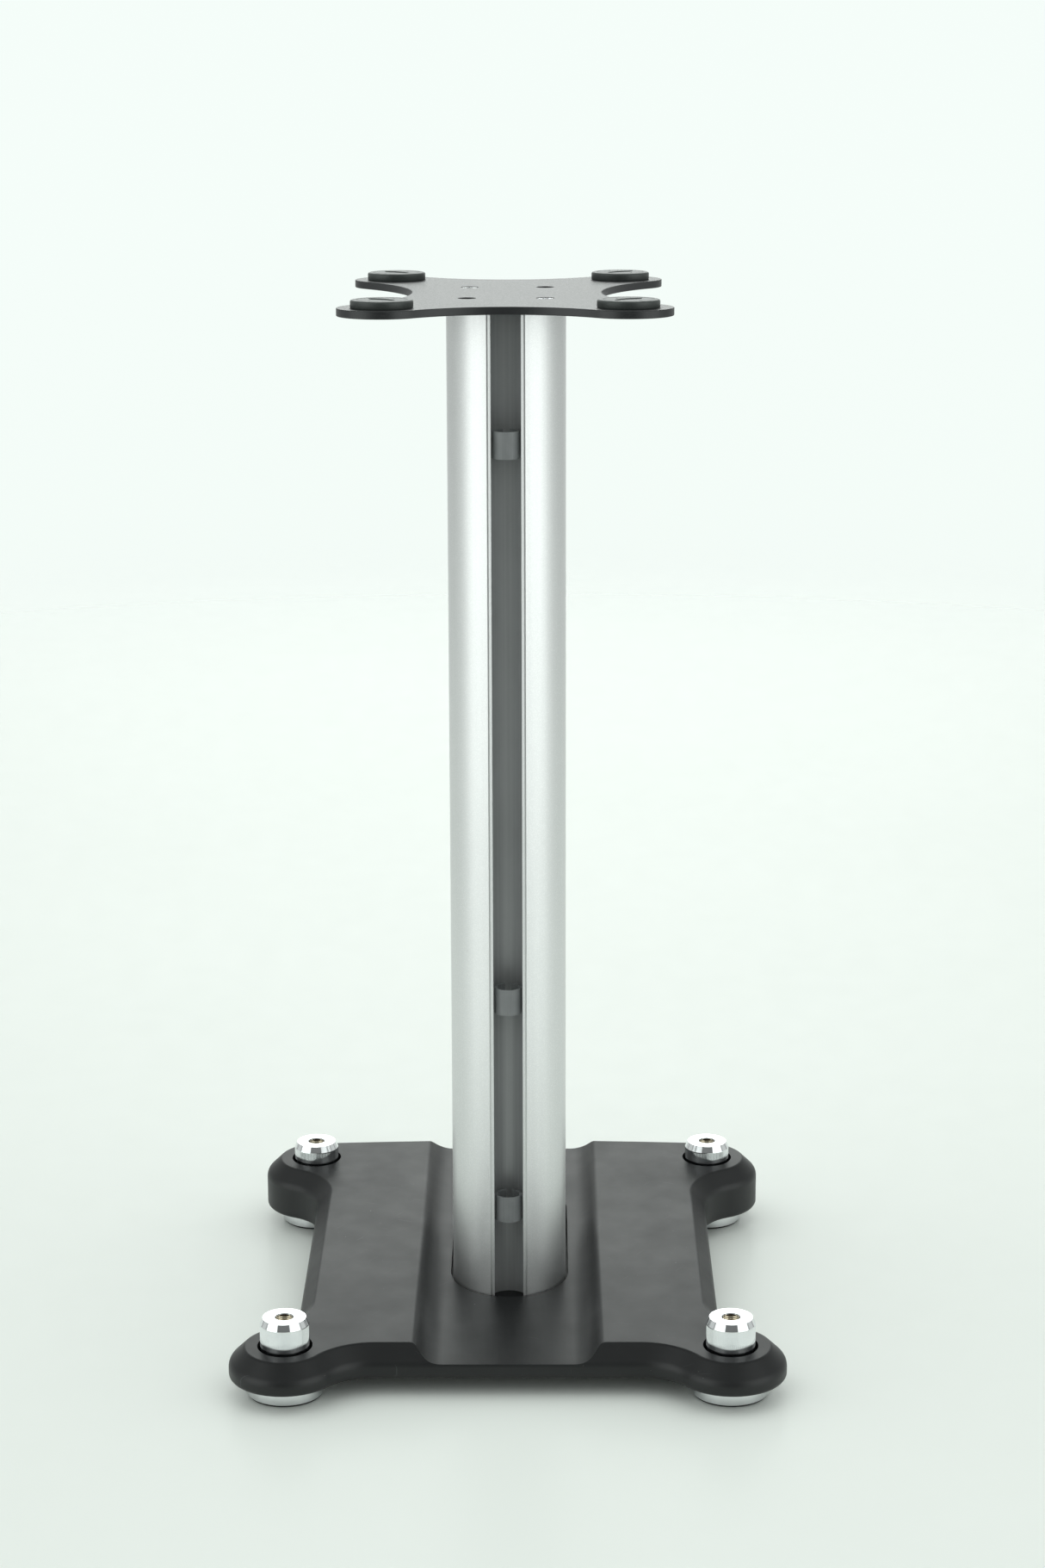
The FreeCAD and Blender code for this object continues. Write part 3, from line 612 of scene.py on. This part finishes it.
# ---------------------------------------------------------------------------
# cable clips: sprung C ring with soft edges
# ---------------------------------------------------------------------------
def make_clip(level):
    node = "cable_clip_" + level
    c, lo, hi = centre(node)
    COLY = 26.2
    t, hw, gap = 1.4, 7.5, 1.5

    def bow(x0, y0, x1, y1, rise, steps):
        """Arc from (x0, y0) to (x1, y1) whose middle stands rise beyond the chord, along +Y or -Y. y1 is not used: the
        arc ends at height y0.
        """
        half = abs(x1 - x0) / 2
        rad = (half * half + rise * rise) / (2 * abs(rise))
        out = []
        a = math.asin(min(1, half / rad))
        for k in range(steps + 1):
            s = -a + 2 * a * k / steps
            x = (x0 + x1) / 2 + (rad * math.sin(s)) * (1 if x1 > x0 else -1)
            y = y0 + math.copysign(rad * math.cos(s) - rad * math.cos(a), rise)
            out.append((x, y))
        return out
    yf, yb = -74.6, -69.7
    outer = bow(-hw, yf, hw, yf, -5.0, 40)
    outer += [(hw, -72.6), (9.35, -72.6), (9.6, -72.35), (9.6, -71.15), (9.35, -70.9), (hw, -70.9)]
    back = bow(hw, yb, -hw, yb, 5.8, 40)
    right = [p for p in back if p[0] > gap + 0.05]
    left = [p for p in back if p[0] < -gap - 0.05]
    iw = hw - t
    inner_back = bow(iw, yb, -iw, yb, 4.7, 36)
    ir = [p for p in inner_back if p[0] > gap + 0.05]
    il = [p for p in inner_back if p[0] < -gap - 0.05]
    inner_front = bow(-iw, yf, iw, yf, -3.9, 36)
    # outer front left->right, ears, outer back right to the gap, inner back to the right wall, inner front right->left, inner back left, outer back left, left ear
    loop = outer + right + ir[::-1] + inner_front[::-1] + il[::-1] + left
    loop += [(-hw, -70.9), (-9.35, -70.9), (-9.6, -71.15), (-9.6, -72.35), (-9.35, -72.6), (-hw, -72.6)]
    pts = [(x * MM, (y + COLY) * MM) for x, y in loop]
    bm = bmesh.new()
    low = [bm.verts.new((x, y, lo.z)) for x, y in pts]
    high = [bm.verts.new((x, y, hi.z)) for x, y in pts]
    k = len(pts)
    for i in range(k):
        j = (i + 1) % k
        bm.faces.new((low[i], low[j], high[j], high[i]))
    bm.faces.new(low[::-1])
    bm.faces.new(high)
    bmesh.ops.recalc_face_normals(bm, faces=bm.faces)
    rim = [e for e in bm.edges if (e.verts[0].co.z == e.verts[1].co.z)]
    bmesh.ops.bevel(bm, geom=rim, offset=0.00022, segments=3, profile=0.6, affect="EDGES", clamp_overlap=True)
    me = bpy.data.meshes.new("v_" + node)
    bm.to_mesh(me)
    bm.free()
    finish_mesh(me, 34)
    return piece("sprung_clip_" + level, me, "clip_" + level, "clip_grey", [node])


# ---------------------------------------------------------------------------
# base plate: cast body with softly rounded chamfer, swept round its outline, then the
# trough, the column's pocket, the knob wells and the bores are taken out
# ---------------------------------------------------------------------------
LOBE_R, LOBE_X, LOBE_YR, LOBE_YF = 32.0, 126.2, -138.45, 133.55
FILLET_R, WAIST_X, REAR_Y, FRONT_Y = 32.0, 122.3, -144.45, 170.45
UNDER, COL_Y, TOP_AT_COL, SLOPE = 10.0, 26.2, 36.5, 0.0481


def top_z(y):
    return TOP_AT_COL + SLOPE * (y - COL_Y)


def base_outline():
    """Points of the outline and their outward normals, anticlockwise."""
    two = LOBE_R + FILLET_R
    fy = REAR_Y - FILLET_R
    fx = LOBE_X - math.sqrt(two ** 2 - (fy - LOBE_YR) ** 2)
    sx = WAIST_X + FILLET_R
    dy = math.sqrt(two ** 2 - (sx - LOBE_X) ** 2)
    ya, yb = LOBE_YR + dy, LOBE_YF - dy
    c = FRONT_Y - LOBE_R
    yc = (c * c - LOBE_X ** 2 - LOBE_YF ** 2) / (2 * (c - LOBE_YF))
    R = FRONT_Y - yc
    pts = []

    def arc(cx, cy, r, a0, a1, hollow, steps):
        for k in range(steps):
            a = a0 + (a1 - a0) * k / steps
            n = Vector((math.cos(a), math.sin(a)))
            pts.append((Vector((cx, cy)) + n * r, -n if hollow else n))

    def line(p, q, n, steps):
        for k in range(steps):
            pts.append((Vector(p).lerp(Vector(q), k / steps), Vector(n)))
    e1 = math.atan2(LOBE_YR - fy, LOBE_X - fx)                 # from the rear hollow's centre to the lobe
    e2 = math.atan2(LOBE_YR - ya, LOBE_X - sx)
    e3 = math.atan2(LOBE_YF - yb, LOBE_X - sx)
    e4 = math.atan2(LOBE_YF - yc, LOBE_X)
    line((0, REAR_Y), (fx, REAR_Y), (0, -1), 12)
    arc(fx, fy, FILLET_R, math.pi / 2, e1, True, 28)
    arc(LOBE_X, LOBE_YR, LOBE_R, e1 + math.pi - TAU, e2 + math.pi if e2 < 0 else e2 - math.pi, False, 72)
    arc(sx, ya, FILLET_R, e2 if e2 > 0 else e2 + TAU, math.pi, True, 28)
    line((WAIST_X, ya), (WAIST_X, yb), (1, 0), 10)
    arc(sx, yb, FILLET_R, math.pi, e3, True, 28)
    arc(LOBE_X, LOBE_YF, LOBE_R, e3 - math.pi, e4, False, 72)
    arc(0, yc, R, e4, math.pi / 2, False, 24)
    half = pts[:]
    for p, n in [(Vector((0, FRONT_Y)), Vector((0, 1)))] + half[:0:-1]:
        pts.append((Vector((-p.x, p.y)), Vector((-n.x, n.y))))
    return pts


def solid(name, rings):
    return loft(name, rings, cap_first=True, cap_last=True)


def prism(name, pts, z0, z1):
    pts = np.asarray(pts, float) * MM
    return solid(name, [np.column_stack([pts, np.full(len(pts), z * MM)]) for z in (z0, z1)])


def disc_pts(cx, cy, r, n):
    return [(cx + r * math.cos(TAU * k / n), cy + r * math.sin(TAU * k / n)) for k in range(n)]


def make_base():
    out = base_outline()
    soft = rounded([(16.0, 0.0), (9.0, 0.0), (0.0, 8.8), (0.0, 24.0)], [0, 2.6, 6.5, 0], 7)[:-1]
    rings = []
    for d, h in soft:
        rings.append([(p.x - n.x * d, p.y - n.y * d, top_z(p.y - n.y * d) - h) for p, n in out])
    for k in range(7):
        a = math.pi / 2 * k / 6
        d, h = 3.5 - 3.5 * math.cos(a), 3.5 - 3.5 * math.sin(a)
        rings.append([(p.x - n.x * d, p.y - n.y * d, UNDER + h) for p, n in out])
    rings.append([(p.x - n.x * 8, p.y - n.y * 8, UNDER) for p, n in out])
    me = solid("v_base_plate", np.array(rings) * MM)
    o = bpy.data.objects.new("cast_base", me)
    scene.collection.objects.link(o)
    cutters = []
    # trough: flat floor, sides tight at the top and a long cove below
    a, b, deep = 37.4, 55.0, 9.2
    m = a + 0.72 * (b - a)
    curve = []
    for k in range(25):
        t = k / 24
        w = ((1 - t) ** 3, 3 * t * (1 - t) ** 2, 3 * t * t * (1 - t), t ** 3)
        curve.append((w[0] * a + w[1] * m + w[2] * m + w[3] * b, -deep * (w[0] + w[1])))
    sec = curve + [(b, 40.0)]
    sec = sec + [(-x, h) for x, h in sec[::-1]]
    cutters.append(solid("c", [[(x * MM, y * MM, (top_z(y) + h) * MM) for x, h in sec] for y in (-240.0, 240.0)]))
    half, flat = 33.7 + 1.5, 93.3 / 2
    ob = [(half * math.cos(math.pi * k / 64), COL_Y + flat + half * math.sin(math.pi * k / 64)) for k in range(65)]
    ob += [(-x, 2 * COL_Y - y) for x, y in ob]
    cutters.append(prism("c", ob, 17.5, 90))
    for corner in CORNERS:
        c, lo, hi = centre("knob_washer_" + corner)
        x, y = c.x / MM, c.y / MM
        cutters.append(prism("c", disc_pts(x, y, 15.65, 128), lo.z / MM, 90))
        cutters.append(prism("c", disc_pts(x, y, 8.0, 64), 5, 60))
    for sx in (-1, 1):
        for sy in (-1, 1):
            x, y = sx * 22.1, COL_Y + sy * 37.3
            cutters.append(prism("c", disc_pts(x, y, 3.3, 40), 5, 25))
            cutters.append(prism("c", disc_pts(x, y, 7.0, 64), 5, 14))
    for i, cm in enumerate(cutters):
        co = bpy.data.objects.new("cutter", cm)
        scene.collection.objects.link(co)
        mod = o.modifiers.new("cut%d" % i, "BOOLEAN")
        mod.operation, mod.solver, mod.object = "DIFFERENCE", "EXACT", co
        bpy.context.view_layer.update()
        new = bpy.data.meshes.new_from_object(o.evaluated_get(bpy.context.evaluated_depsgraph_get()))
        o.modifiers.clear()
        o.data = new
        bpy.data.objects.remove(co)
    me = o.data
    bpy.data.objects.remove(o)
    bm = bmesh.new()
    bm.from_mesh(me)
    bmesh.ops.remove_doubles(bm, verts=bm.verts, dist=2e-6)
    bmesh.ops.dissolve_degenerate(bm, edges=bm.edges, dist=1e-6)
    bmesh.ops.recalc_face_normals(bm, faces=bm.faces)
    bm.to_mesh(me)
    bm.free()
    me.name = "v_base_plate"
    me.shade_smooth()
    me.set_sharp_from_angle(angle=math.radians(28))
    return piece("cast_base", me, "stand", "base_black", ["base_plate"])


make_base()
for corner in CORNERS:
    make_knob(corner)
    make_disc(corner)
    make_sole(corner)
    make_stud(corner)
    make_pad(corner)
for level in ("upper", "middle", "lower"):
    make_clip(level)

# ---------------------------------------------------------------------------
# stage: pale floor that fades into the backdrop, soft studio surroundings
# ---------------------------------------------------------------------------
bm = bmesh.new()
N = 128
ringv = []
for r in (0.3, 0.6, 1.0, 1.5, 2.2, 3.2):
    ringv.append([bm.verts.new((r * math.cos(TAU * i / N), r * math.sin(TAU * i / N), 0)) for i in range(N)])
mid = bm.verts.new((0, 0, 0))
for i in range(N):
    bm.faces.new((mid, ringv[0][i], ringv[0][(i + 1) % N]))
    for a, b in zip(ringv, ringv[1:]):
        bm.faces.new((a[i], b[i], b[(i + 1) % N], a[(i + 1) % N]))
me = bpy.data.meshes.new("floor")
bm.to_mesh(me)
bm.free()
floor = bpy.data.objects.new("floor", me)
scene.collection.objects.link(floor)
floor.location = (0, 0.6, -0.0002)
fm = Mat("floor_pale_gloss")
fcol = fm.mix(fm.rng(fm.noise(3, 3, 0.5), 0.3, 0.7), FLOOR_A, FLOOR_B)
fm.set(color=fcol, rough=fm.rng(fm.noise(40, 3, 0.5), 0.3, 0.7, 0.30, 0.36), ior=1.16, spec=0.3)
ln = fm.node("ShaderNodeVectorMath", operation="LENGTH")
fm.link(fm.co, ln.inputs[0])
fm.put(fm.b.inputs["Alpha"], fm.rng(ln.outputs["Value"], 0.95, 2.3, 1.0, 0.0, smooth=True))
me.materials.append(fm.m)

world = bpy.data.worlds.new("studio")
scene.world = world
world.use_nodes = True
wt = world.node_tree
wt.nodes.clear()


class W(Mat):
    def __init__(self, nt):
        self.nt = nt


w = W(wt)
wout = w.node("ShaderNodeOutputWorld")
bg = w.node("ShaderNodeBackground")
w.link(bg.outputs[0], wout.inputs[0])
w.co = w.node("ShaderNodeTexCoord").outputs["Generated"]
DEG = math.radians(1)
gx, gy, gz = w.axis("X"), w.axis("Y"), w.axis("Z")
azim = w.math("ABSOLUTE", w.math("ARCTAN2", gx, w.math("MULTIPLY", gy, -1.0)))   # 0 behind the camera, pi behind the stand
elev = w.math("ARCSINE", gz)


def window(value, a, b, sa, sb=None):
    """1 between a and b (degrees), with soft edges sa and sb wide."""
    sb = sa if sb is None else sb
    up = w.rng(value, (a - sa) * DEG, (a + sa) * DEG, smooth=True)
    down = w.rng(value, (b - sb) * DEG, (b + sb) * DEG, 1.0, 0.0, smooth=True)
    return w.math("MULTIPLY", up, down)


def add_light(total, mask, gain):
    return w.math("ADD", total, w.math("MULTIPLY", mask, gain))


# what shiny surfaces see: grey walls, dark behind the camera, two soft boxes, a bright panel behind the stand
glossy = w.rng(azim, 27 * DEG, 35 * DEG, L_DARK, L_WALL, smooth=True)
glossy = w.mix(w.rng(elev, 14 * DEG, 52 * DEG, smooth=True), glossy, (L_TOP,) * 3)
glossy = add_light(glossy, w.math("MULTIPLY", window(azim, 32, 84, 3, 10), window(elev, -34, 50, 8)), L_BOX)
glossy = add_light(glossy, w.math("MULTIPLY", window(azim, 166, 220, 13), window(elev, -25, 31, 8, 9)), L_BACK)
glossy = add_light(glossy, w.math("MULTIPLY", window(azim, 166, 220, 12), window(elev, 14, 27, 6, 4)), L_BAND)
seams = w.math("MAXIMUM", window(azim, 54, 56.5, 0.7), window(azim, 84, 92, 2.0))
seams = w.math("MAXIMUM", seams, window(azim, 118, 123, 1.5))
seams = w.math("MULTIPLY", seams, window(elev, -40, 55, 5))
glossy = w.math("MULTIPLY", glossy, w.math("SUBTRACT", 1.0, w.math("MULTIPLY", seams, 0.5)))
# what matt surfaces see
diffuse = w.math("ADD", L_DIFF, w.math("MULTIPLY", w.rng(elev, -20 * DEG, 80 * DEG, smooth=True), L_DIFF_TOP))
diffuse = w.math("MULTIPLY", diffuse, w.rng(azim, 20 * DEG, 70 * DEG, 0.72, 1.0, smooth=True))
path = w.node("ShaderNodeLightPath")
level = w.mix(path.outputs["Is Glossy Ray"], diffuse, glossy)
tint = w.mix(1.0, level, (0.955, 1.0, 0.975), "MULTIPLY")
sky = w.mix(w.rng(elev, -26 * DEG, -2 * DEG, smooth=True), SKY_LOW, SKY_HIGH)
tint = w.mix(path.outputs["Is Camera Ray"], tint, sky)
w.link(tint, bg.inputs["Color"])
bg.inputs["Strength"].default_value = 1.0

# ---------------------------------------------------------------------------
# camera
# ---------------------------------------------------------------------------
cam_data = bpy.data.cameras.new("camera")
cam = bpy.data.objects.new("camera", cam_data)
scene.collection.objects.link(cam)
pan, pitch, roll = -0.0058, 0.2354, -0.0026
fw = Vector((math.sin(pan) * math.cos(pitch), math.cos(pan) * math.cos(pitch), -math.sin(pitch)))
r0 = Vector((math.cos(pan), -math.sin(pan), 0))
u0 = r0.cross(fw)
right = r0 * math.cos(roll) + u0 * math.sin(roll)
up = -r0 * math.sin(roll) + u0 * math.cos(roll)
rot = Matrix((right, up, -fw)).transposed()
cam.matrix_world = Matrix.Translation((0.019065, -1.8353, 0.7620)) @ rot.to_4x4()
cam_data.sensor_width = 36.0
cam_data.lens = 36.0 * 3737.2 / 1821
cam_data.clip_start, cam_data.clip_end = 0.05, 200
scene.camera = cam

scene.view_settings.view_transform = "Standard"
scene.view_settings.look = "None"
